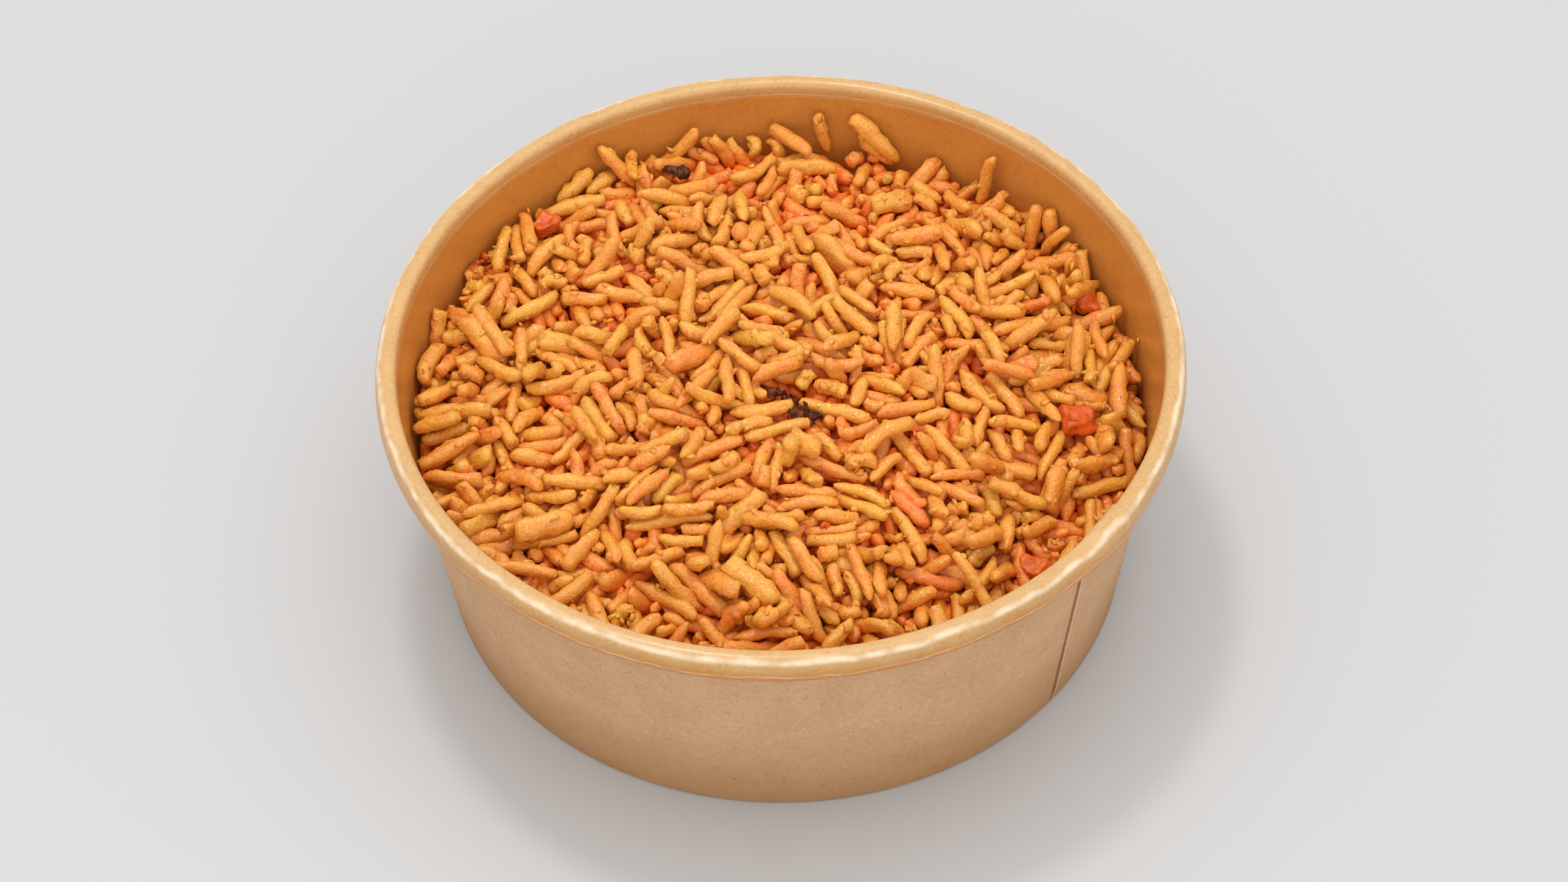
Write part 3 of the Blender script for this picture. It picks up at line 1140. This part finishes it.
def rice_material(name, yellow, orange, salmon, fleck, glow):
    """Cooked rice: its own tone, clouds of stock, red flecks, redder low in the pile, wet and translucent."""
    material, tree, shader = new_material(
        name, Roughness=0.5, Specular_IOR_Level=0.35, IOR=1.42, Coat_Weight=0.55, Coat_Roughness=0.12,
        Subsurface_Weight=0.3, Subsurface_Scale=0.5 * MM, Subsurface_Radius=(1.0, 0.6, 0.35))
    place = add(tree, "ShaderNodeTexCoord").outputs["Object"]

    # The tone of a point: its grain's own, more or less in patches, and lost towards the bottom.
    clouds = add(tree, "ShaderNodeTexNoise", {"Vector": place, "Scale": 1000 / 3.4})
    grit = add(tree, "ShaderNodeTexNoise", {"Vector": place, "Scale": 1000 / 0.8})
    tone = add(tree, "ShaderNodeAttribute", attribute_name="tone").outputs["Fac"]
    for value, spread in ((clouds, 0.2), (own_fibres(tree, 0.7, 5), 0.12), (grit, 0.2)):
        patch = add(tree, "ShaderNodeMapRange", {0: value, 1: 0.3, 2: 0.7, 3: -spread, 4: spread}, **SMOOTH)
        tone = add(tree, "ShaderNodeMath", {0: tone, 1: patch}, operation="ADD")
    sunk = add(tree, "ShaderNodeAttribute", attribute_name="sunk_mm").outputs["Fac"]
    lost = add(tree, "ShaderNodeMapRange", {0: sunk, 1: -3.4, 2: 0.6, 3: -0.14, 4: 0.34}, **SMOOTH)
    tone = add(tree, "ShaderNodeMath", {0: tone, 1: lost}, operation="SUBTRACT")
    low = add(tree, "ShaderNodeMapRange", {0: tone, 1: 0.0, 2: 0.42}, **SMOOTH)
    colour = add(tree, "ShaderNodeMix", {0: low, 6: salmon, 7: orange}, **COLOURS)
    high = add(tree, "ShaderNodeMapRange", {0: tone, 1: 0.5, 2: 1.0}, **SMOOTH)
    colour = add(tree, "ShaderNodeMix", {0: high, 6: colour, 7: yellow}, **COLOURS)

    # Red smears, dots and pores, pale starch between the pores, and the glow of light from other grains.
    smears = add(tree, "ShaderNodeTexNoise", {"Vector": place, "Scale": 1000 / 1.5, "Detail": 3.0,
                                              "Distortion": 0.6})
    dots = add(tree, "ShaderNodeTexVoronoi", {"Vector": place, "Scale": 1000 / 2.8}, feature="F1")
    pores = add(tree, "ShaderNodeTexNoise", {"Vector": place, "Scale": 1000 / 0.42})
    for value, none_at, full_at, most, tint in (
        (smears, 0.56, 0.75, 0.5, fleck),
        (dots, 0.14, 0.05, 0.7, fleck),
        (pores, 0.5, 0.7, 0.35, fleck),
        (pores, 0.5, 0.32, 0.35, yellow),
        (sunk, -2.4, 2.0, 0.75, glow),
    ):
        share = add(tree, "ShaderNodeMapRange", {0: value, 1: none_at, 2: full_at, 3: 0, 4: most}, **SMOOTH)
        colour = add(tree, "ShaderNodeMix", {0: share, 6: colour, 7: tint}, **COLOURS)

    bump = None
    for size_mm, depth_mm in ((1.0, 0.3), (0.42, 0.16)):
        relief = add(tree, "ShaderNodeTexNoise", {"Vector": place, "Scale": 1000 / size_mm, "Detail": 3.0})
        settings = {"Height": relief, "Strength": 1.0, "Distance": depth_mm * MM}
        bump = add(tree, "ShaderNodeBump", settings | ({"Normal": bump} if bump else {}))
    wet = add(tree, "ShaderNodeTexNoise", {"Vector": place, "Scale": 1000 / 0.8, "Detail": 1.0})
    film = add(tree, "ShaderNodeBump", {"Height": wet, "Strength": 1.0, "Distance": 0.3 * MM})
    fill(tree, shader, {"Base Color": colour, "Normal": bump, "Coat Normal": film})
    return material


# Cooked parboiled rice in tomato stock: starchy, so light goes into it and comes back warm, and oily, so it
# has small sharp glints. Light that has passed other grains is orange, so the grains glow lower down.
cooked_rice = rice_material(
    "cooked rice in tomato stock", "#E6A93D", "#E89638", "#EA7A35", "#D6541C", "#FF8828")
# Rice deep in the heap: the same, wetter and redder, as the stock gathers there.
deep_rice = rice_material(
    "wet rice deep in the heap", "#F8A240", "#F69034", "#EE7A2E", "#D4501C", "#FF8224")
print("rice materials:", cooked_rice.name, "and", deep_rice.name)

# %% [markdown]
# ## Core of the heap
# Between the top grains one sees only darkness and more grains. A lumpy core a few grains down closes the
# heap, follows the wall, and stands on the bottom of the bowl.

# %% Core of the heap
CORE_RINGS = 46
CORE_LUMP = 2.6 * MM
CORE_RELIEF = 0.8 * MM


def core_section(azimuth):
    """Section of the core: floor, side along the wall, and the lumpy top back to the axis."""
    floor_z = rice_low.z
    clear = GAP + 0.1 * MM
    edge_z = heap_edge(azimuth) - LOOSE_DEPTH
    rim = wall_inside(edge_z) - clear
    section = [(0.0, floor_z, 0), (wall_inside(floor_z) - clear, floor_z, 0)]
    for r in np.linspace(rim, 0, CORE_RINGS):
        x, y = r * math.cos(azimuth), r * math.sin(azimuth)
        relief = noise.noise(Vector((x, y, 2.0)) / CORE_LUMP) * CORE_RELIEF if r > 0 else 0
        section.append((r, heap_height(x, y) - LOOSE_DEPTH + relief, 0))
    return section


rice_core = loft_round("rice_core", core_section, azimuths[::2], (deep_rice,))
mark_depth(rice_core.data)
dress(rice_core, "rice", "rice")

# %% [markdown]
# ## The grains
# The settled grains are dealt to kinds: short ones are broken, most long ones are whole, and some have
# burst. Grains low in the pile take the wet, redder finish.

# %% Lay the grains
BROKEN_LENGTH = 6.2 * MM
DEEP_BELOW = -1.2 * MM
SPLIT_SHARE, BROKEN_SHARE = 0.17, 0.22

grain_length = np.linalg.norm(grain_b - grain_a, axis=1) + grain_width * 2 * CAP_INSET
is_marked = np.arange(len(grain_a)) < MARKED_COUNT
is_short = grain_length < BROKEN_LENGTH
is_deep = (above_core < DEEP_BELOW) & ~is_marked
kind_draw = draw.random(len(grain_a))
is_split = ~is_short & ~is_marked & (kind_draw < SPLIT_SHARE)
is_cut = ~is_marked & (is_short | (kind_draw > 1 - BROKEN_SHARE))
is_whole = ~is_split & ~is_cut
kinds = {
    "whole_grains": (is_whole & ~is_deep, whole_forms, cooked_rice, 1.05),
    "broken_grains": (is_cut & ~is_deep, broken_forms, cooked_rice, 1.0),
    "split_grains": (is_split & ~is_deep, split_forms, cooked_rice, 1.12),
    "deep_grains": (is_deep, whole_forms, deep_rice, 1.05),
}
for number, (name, (chosen, forms, material, thickness)) in enumerate(kinds.items()):
    piece = lay(name, grain_a[chosen], grain_b[chosen], grain_width[chosen], grain_tone[chosen],
                forms, material, seed=number + 3, thickness=thickness)
    dress(piece, "rice", "rice")
    print(name, "grains:", int(chosen.sum()))

# %% [markdown]
# ## Crumbs on the grains
# Cooked grains shed starch: crumbs and frayed bits cling to them and soften their outlines.

# %% Crumbs
CRUMB_COUNT = 1700
CRUMB_SIZES = (0.5 * MM, 2.0 * MM)
CRUMB_SINK = 0.85


def lump_form(name, seed, flat, roughness):
    """A small uneven lump, 1 across, flattened along its own y."""
    bm = bmesh.new()
    bmesh.ops.create_icosphere(bm, subdivisions=1, radius=0.5)
    own_place = bm.verts.layers.float_vector.new("own_place")
    for vert in bm.verts:
        vert.co *= 1 + roughness * noise.noise(vert.co * 3 + Vector((seed * 5.0, 0, 0)))
        vert.co.y *= flat
        vert[own_place] = vert.co
    return smooth_mesh(name, bm)


def spots_on_grains(count, sink):
    """Random points on the upper side of grains that aren't deep, and those grains' tones."""
    host = draw.choice(np.nonzero(~is_deep)[0], count)
    share = draw.uniform(-0.1, 1.1, count)[:, None]
    axis = grain_a[host] * (1 - share) + grain_b[host] * share
    along = grain_b[host] - grain_a[host]
    along /= np.linalg.norm(along, axis=1)[:, None]
    side = np.cross(along, draw.normal(0, 1, (count, 3)))
    side[:, 2] = np.abs(side[:, 2])
    side /= np.maximum(np.linalg.norm(side, axis=1), 1e-9)[:, None]
    return axis + side * (grain_width[host] / 2 * sink)[:, None], grain_tone[host]


def short_ends(spots, size):
    """Ends of small pieces of these sizes, laid in any direction at the spots."""
    away = draw.normal(0, 1, spots.shape)
    away *= (size * 0.3 / np.linalg.norm(away, axis=1))[:, None]
    return spots - away, spots + away


crumb_forms = form_collection("crumbs", [
    lump_form(f"crumb_{n}", n, flat=0.6, roughness=0.9) for n in range(4)
])
spots, tone = spots_on_grains(CRUMB_COUNT, CRUMB_SINK)
crumb_size = draw.uniform(*CRUMB_SIZES, CRUMB_COUNT)
crumbs = lay("rice_crumbs", *short_ends(spots, crumb_size), crumb_size, tone,
             crumb_forms, cooked_rice, seed=17)
dress(crumbs, "rice", "rice")

# %% [markdown]
# ## Tomato and pepper
# The red bits are diced tomato and pepper, cooked soft: their corners have rounded, the skin side is
# smooth and the cut sides are pulpy. Each starts from the frame's solid, so it keeps its place and size,
# and is made smooth and uneven by subdivision and noise. The flesh is wet and lets light in.

# %% Flesh materials
def cloudy_material(name, main, other, clouds, start, tooth, strength, depth_mm, **shader_values):
    """A main colour with clouds of another where their noise passes start, and a fine relief."""
    material, tree, shader = new_material(name, **shader_values)
    place = add(tree, "ShaderNodeTexCoord").outputs["Object"]
    cloud = add(tree, "ShaderNodeTexNoise", {"Vector": place, **clouds})
    share = add(tree, "ShaderNodeMapRange", {0: cloud, 1: start, 2: 0.7}, **SMOOTH)
    colour = add(tree, "ShaderNodeMix", {0: share, 6: main, 7: other}, **COLOURS)
    rough = add(tree, "ShaderNodeTexNoise", {"Vector": place, **tooth})
    bump = add(tree, "ShaderNodeBump", {"Height": rough, "Strength": strength, "Distance": depth_mm * MM})
    fill(tree, shader, {"Base Color": colour, "Normal": bump, "Coat Normal": bump})
    return material


# Cooked tomato: soft wet flesh that light goes into, cloudy with pulp. Cooked sweet pepper: more orange.
tomato_flesh, pepper_flesh = (
    cloudy_material(
        name, bright, deep, {"Scale": 1000 / 2.2, "Detail": 3.0, "Distortion": 0.8}, 0.35,
        {"Scale": 1000 / 0.9}, 0.8, 0.3, Roughness=0.4, Specular_IOR_Level=0.3,
        Coat_Weight=0.35, Coat_Roughness=0.06,
        Subsurface_Weight=0.35, Subsurface_Scale=0.8 * MM, Subsurface_Radius=(1.0, 0.3, 0.1))
    for name, bright, deep in (("cooked tomato flesh", "#DE641C", "#C44C0E"),
                               ("cooked sweet pepper", "#E06C1E", "#C85612"))
)


# %% Tomato and pepper pieces
BIG_LUMP, SMALL_LUMP = 4.2 * MM, 1.3 * MM
SMALL_SHARE = 0.12
WELD_SOLID = 0.01 * MM


def softened(node, name, material, roughness_mm, seed, shrink=0.8, lift_mm=0.8):
    """A smooth, uneven copy of a topping's solid, kept in its place."""
    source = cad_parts[node]
    bm = bmesh.new()
    bm.from_mesh(source.data)
    bmesh.ops.remove_doubles(bm, verts=bm.verts, dist=WELD_SOLID)
    for smoothness in (0.4, 0.3):
        bmesh.ops.subdivide_edges(bm, edges=bm.edges, cuts=1, use_grid_fill=True, smooth=smoothness)
    bm.normal_update()
    low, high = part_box(node)
    middle = (low + high) / 2
    for vert in bm.verts:
        big = noise.noise(vert.co / BIG_LUMP + Vector((seed, 0, 0)))
        small = noise.noise(vert.co / SMALL_LUMP + Vector((0, seed, 0)))
        relief = vert.normal * (big + SMALL_SHARE * small) * roughness_mm * MM
        vert.co = middle + (vert.co - middle) * shrink + relief
        vert.co.z += lift_mm * MM
    mesh = smooth_mesh(name, bm)
    press_inside(mesh)
    return plain_mesh(name, mesh, material)


# The piece at the right wall is as red as the tomato, so it has the tomato's finish.
for number, (node, material, slot) in enumerate((
    ("tomato_right", tomato_flesh, "tomato"),
    ("tomato_back_left", tomato_flesh, "tomato"),
    ("pepper_right", tomato_flesh, "pepper"),
    ("pepper_front", pepper_flesh, "pepper"),
)):
    dress(softened(node, node + "_piece", material, 1.6, number * 4.0 + 2), slot, node)

# %% [markdown]
# ## Bits of tomato and pepper skin
# The stock was blended from tomato and pepper, so thin bits of their skin cling everywhere, brightest red
# where they fold. They are flattened lumps, laid on the grains like the crumbs, and more of them near the
# tomato at the left.

# %% Bits of skin
SKIN_COUNT = 120
SKIN_SIZES, CLUSTER_SIZES = (0.4, 1.0), (0.9, 2.3)
CLUSTER_LIFT = 2.6 * MM
SKIN_CLEAR = 1.5 * MM
# The middle pixel of each cluster, and how many bits lie round it.
SKIN_CLUSTERS = (((775, 430), 9), ((800, 445), 7), ((855, 390), 10), ((845, 560), 7), ((1090, 650), 3),
                 ((1460, 515), 3), ((1560, 630), 3), ((1375, 855), 4), ((1310, 870), 3), ((1785, 500), 5))

skin_forms = form_collection("skins", [
    lump_form(f"skin_{n}", n + 9, flat=0.3, roughness=0.9) for n in range(4)
])
spots, tone = spots_on_grains(SKIN_COUNT, 1.0)
clusters = [
    np.array(on_heap(px + draw.normal(0, 14), py + draw.normal(0, 10), CLUSTER_LIFT))
    for (px, py), number in SKIN_CLUSTERS
    for _ in range(number)
]
spots = np.concatenate([spots, clusters])
room = (wall_centre(spots[:, 2]) - SKIN_CLEAR) / np.hypot(spots[:, 0], spots[:, 1])
spots[:, :2] *= np.minimum(1, room)[:, None]
tone = np.concatenate([tone, np.full(len(clusters), 0.5)])
skin_size = MM * np.concatenate([
    draw.uniform(*SKIN_SIZES, SKIN_COUNT), draw.uniform(*CLUSTER_SIZES, len(clusters))
])
skins = lay("tomato_skins", *short_ends(spots, skin_size), skin_size, tone,
            skin_forms, tomato_flesh, seed=23)
dress(skins, "tomato")

# %% [markdown]
# ## Charred onion and clove
# One dark flake of charred onion lies near the middle, wrinkled and glossy where the oil has set on it. At
# the back left lies a clove, dull and brown with a grey bloom.

# %% Charred onion and clove materials
# Charred onion skin: nearly black, brown where it is thinner, and glossy in spots from oil.
charred = cloudy_material(
    "charred onion skin", "#3A1208", "#8C4420", {"Scale": 1000 / 1.4, "Detail": 4.0}, 0.42,
    {"Scale": 1000 / 0.8, "Detail": 4.0}, 0.8, 0.3, Roughness=0.35, Specular_IOR_Level=0.12)
# Dried clove, soaked and cooked: dark brown and matt, with a greyish bloom on its high spots.
clove_bark = cloudy_material(
    "cooked clove", "#3C1D10", "#75492F", {"Scale": 1000, "Detail": 4.0}, 0.35,
    {"Scale": 1000 / 0.5, "Detail": 3.0}, 0.6, 0.2, Roughness=0.7, Specular_IOR_Level=0.2)

# %% Charred shreds
# Pixels of each shred's two ends, its width in mm, and how far its middle line bows, in mm.
CHARRED_SHREDS = (
    ((1249, 632), (1292, 642), 1.9, 0.8),
    ((1284, 650), (1308, 668), 2.0, -0.4),
    ((1300, 664), (1334, 688), 3.2, 0.9),
    ((1298, 699), (1337, 690), 2.0, -0.6),
    ((1322, 674), (1350, 684), 1.6, 0.5),
)
SHRED_THICKNESS = 0.3 * MM
SHRED_LIFT = 2.6 * MM
SHRED_WRINKLE = 0.8 * MM
SHRED_CURL = 0.3 * MM


def add_shred(bm, start, stop, width, bow, seed):
    """A crumpled strip between two points, curled down at its sides and torn along its edges."""
    along = stop - start
    side = along.cross(Vector((0, 0, 1))).normalized()
    for vert in bmesh.ops.create_grid(bm, x_segments=9, y_segments=5, size=0.5)["verts"]:
        u, v = vert.co.x, vert.co.y
        torn = 1 + 0.7 * noise.noise(Vector((u * 6, v * 3, seed)))
        half = width * max(0.15, 1 - (2 * u) ** 2 * 0.7) * torn
        wrinkle = noise.noise(Vector((u * 5, v * 5, seed + 7))) * SHRED_WRINKLE
        vert.co = (start + stop) / 2 + along * u + side * (v * half + bow * (1 - 4 * u * u))
        vert.co.z += wrinkle - (2 * v) ** 2 * SHRED_CURL


bm = bmesh.new()
for number, (first, last, width, bow) in enumerate(CHARRED_SHREDS):
    ends = (on_heap(*pixel, SHRED_LIFT) for pixel in (first, last))
    add_shred(bm, *ends, width * MM, bow * MM, number * 3.1)
bmesh.ops.recalc_face_normals(bm, faces=bm.faces)
bmesh.ops.solidify(bm, geom=bm.faces[:], thickness=SHRED_THICKNESS)
bmesh.ops.recalc_face_normals(bm, faces=bm.faces)
shreds = plain_mesh("charred_shreds", smooth_mesh("charred_shreds", bm), charred)
dress(shreds, "charred_onion", "charred_onion")
dress(softened("clove", "clove_piece", clove_bark, 0.18, 37.0, shrink=1.0, lift_mm=1.6), "clove", "clove")

# %% [markdown]
# ## Measure and finish
# The visual model has to stay inside the frame's box, so both boxes are written out and compared.

# %% Boxes
low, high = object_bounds()
print("visual box in mm:", [round((b - a) / MM, 1) for a, b in zip(low, high)])
